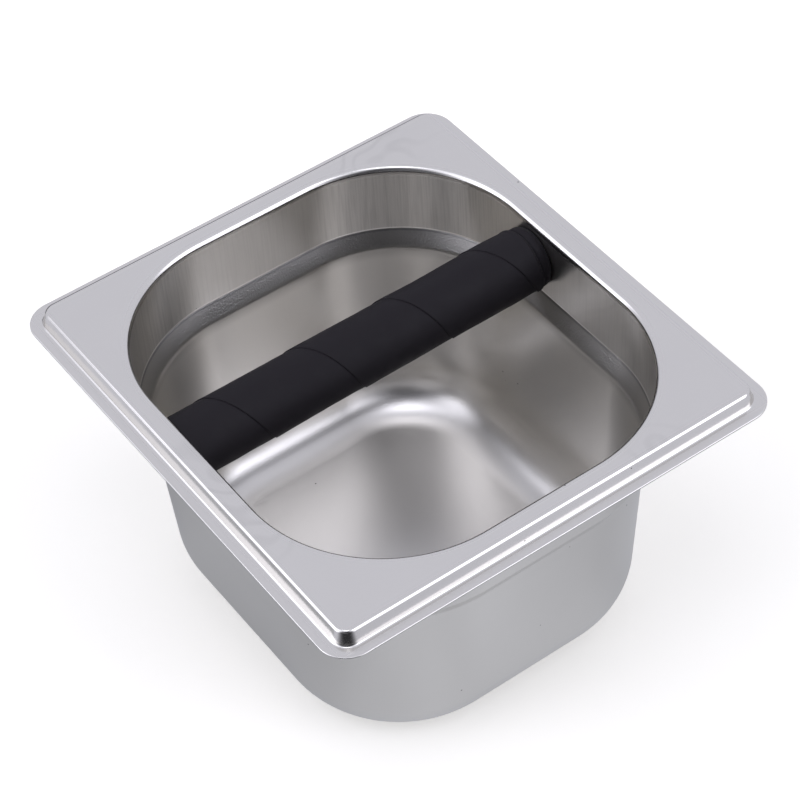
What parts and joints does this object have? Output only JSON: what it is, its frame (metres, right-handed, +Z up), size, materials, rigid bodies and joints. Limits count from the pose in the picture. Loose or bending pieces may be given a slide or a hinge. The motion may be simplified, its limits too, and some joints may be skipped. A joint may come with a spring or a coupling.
{
  "type": "espresso knock box",
  "caption": "Deep-drawn stainless catering pan with a rubber-wrapped bar across its mouth, for knocking spent coffee out of a portafilter.",
  "frame": {"origin": "middle of the underside of the base, on the surface the box stands on", "axes": "+X along the knock bar, +Y across it towards the wall that the bar is nearer to, +Z up"},
  "size_m": [0.162, 0.176, 0.1],
  "materials": {
    "pan_steel": "satin drawn stainless sheet",
    "tape_rubber": "satin black rubber tape",
    "sleeve_rubber": "matte black rubber hose",
    "bar_steel": "drawn stainless tube and turned plugs",
    "seal_rubber": "matte black rubber",
    "fastener_steel": "plain stainless fasteners"
  },
  "bodies": {
    "pan_body": {"pan": "pan_steel"},
    "knock_bar": {"grip_tape": "tape_rubber", "rubber_sleeve": "sleeve_rubber", "bar_tube": "bar_steel", "left_end_plug": "bar_steel", "left_seal_washer": "seal_rubber", "left_plain_washer": "fastener_steel", "left_spring_washer": "fastener_steel", "left_screw": "fastener_steel", "right_end_plug": "bar_steel", "right_seal_washer": "seal_rubber", "right_plain_washer": "fastener_steel", "right_spring_washer": "fastener_steel", "right_screw": "fastener_steel"}
  },
  "joints": [
    {"name": "bar_turn", "type": "hinge", "parent": "pan_body", "child": "knock_bar", "pos_m": [0, 0.0166, 0.086], "axis": [1, 0, 0], "continuous": true}
  ]
}
